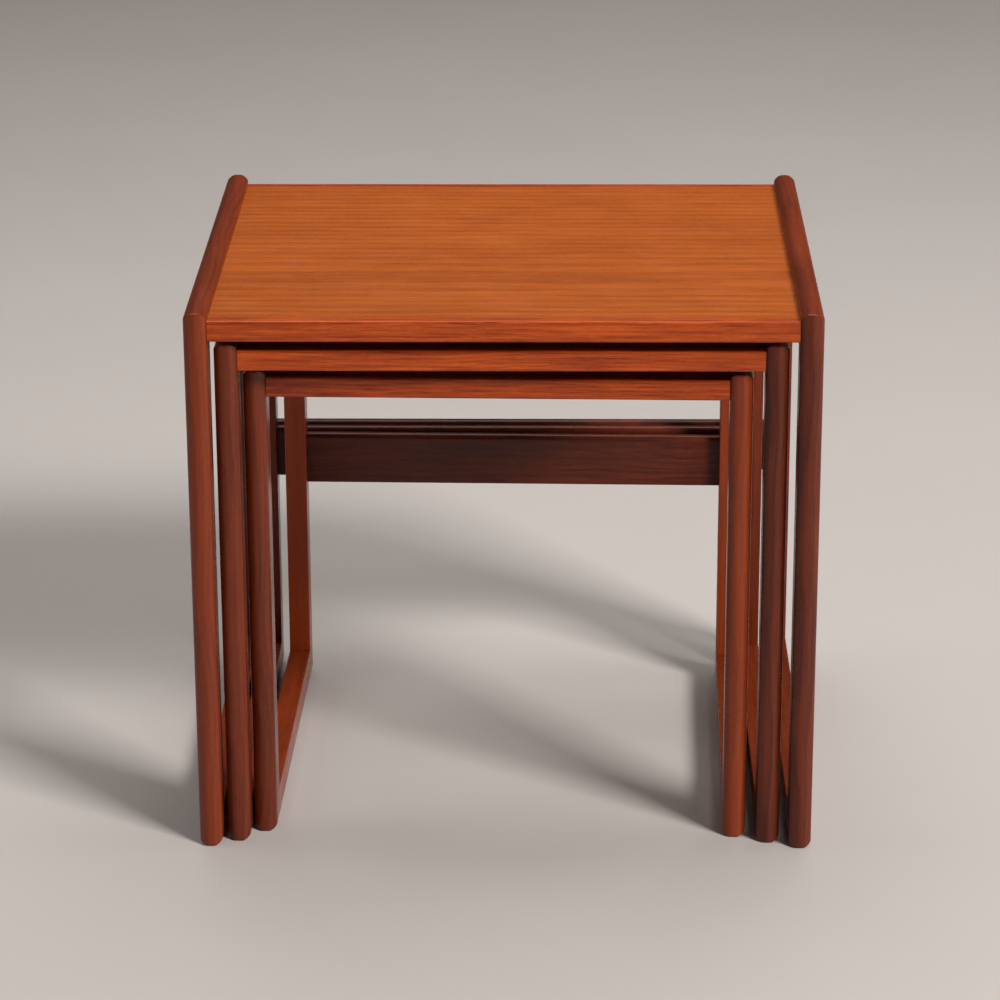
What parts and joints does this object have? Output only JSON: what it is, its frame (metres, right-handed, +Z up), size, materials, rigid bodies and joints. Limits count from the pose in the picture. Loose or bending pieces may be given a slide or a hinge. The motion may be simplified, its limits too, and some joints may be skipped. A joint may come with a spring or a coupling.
{
  "type": "nesting tables",
  "caption": "Nest of wooden side tables on loop-shaped side frames with veneered tops let in between them; the smaller tables stand inside the larger and pull out forwards.",
  "frame": {"origin": "on the floor, under the middle of the large table", "axes": "+Z is up, +X is to the right of someone facing the front, and the fronts of the tables face -Y"},
  "size_m": [0.54, 0.452, 0.4925],
  "materials": {
    "teak_frame": "satin lacquer on reddish solid teak",
    "teak_lip": "satin lacquer on solid teak",
    "teak_veneer": "satin lacquer on teak veneer, grain left to right",
    "backing_veneer": "thinly sealed backing veneer",
    "core_board": "raw core board, hidden",
    "beech_peg": "raw beech, hidden"
  },
  "bodies": {
    "large_table": {"large_left_runner": "teak_frame", "large_left_rear_leg": "teak_frame", "large_left_top_rail": "teak_frame", "large_left_front_leg": "teak_frame", "large_right_runner": "teak_frame", "large_right_rear_leg": "teak_frame", "large_right_top_rail": "teak_frame", "large_right_front_leg": "teak_frame", "large_top_core": "core_board", "large_top_veneer": "teak_veneer", "large_backing_veneer": "backing_veneer", "large_front_lip": "teak_lip", "large_rear_lip": "teak_lip", "large_rear_rail": "teak_frame", "large_corner_tenons": "beech_peg", "large_top_dowels": "beech_peg", "large_rail_dowels": "beech_peg"},
    "medium_table": {"medium_left_runner": "teak_frame", "medium_left_rear_leg": "teak_frame", "medium_left_top_rail": "teak_frame", "medium_left_front_leg": "teak_frame", "medium_right_runner": "teak_frame", "medium_right_rear_leg": "teak_frame", "medium_right_top_rail": "teak_frame", "medium_right_front_leg": "teak_frame", "medium_top_core": "core_board", "medium_top_veneer": "teak_veneer", "medium_backing_veneer": "backing_veneer", "medium_front_lip": "teak_lip", "medium_rear_lip": "teak_lip", "medium_rear_rail": "teak_frame", "medium_corner_tenons": "beech_peg", "medium_top_dowels": "beech_peg", "medium_rail_dowels": "beech_peg"},
    "small_table": {"small_left_runner": "teak_frame", "small_left_rear_leg": "teak_frame", "small_left_top_rail": "teak_frame", "small_left_front_leg": "teak_frame", "small_right_runner": "teak_frame", "small_right_rear_leg": "teak_frame", "small_right_top_rail": "teak_frame", "small_right_front_leg": "teak_frame", "small_top_core": "core_board", "small_top_veneer": "teak_veneer", "small_backing_veneer": "backing_veneer", "small_front_lip": "teak_lip", "small_rear_lip": "teak_lip", "small_rear_rail": "teak_frame", "small_corner_tenons": "beech_peg", "small_top_dowels": "beech_peg", "small_rail_dowels": "beech_peg"}
  },
  "joints": [
    {"name": "medium_table_slide", "type": "slide", "parent": "large_table", "child": "medium_table", "axis": [0, -1, 0], "range_m": [0, 0.44]},
    {"name": "small_table_slide", "type": "slide", "parent": "medium_table", "child": "small_table", "axis": [0, -1, 0], "range_m": [0, 0.41]}
  ]
}
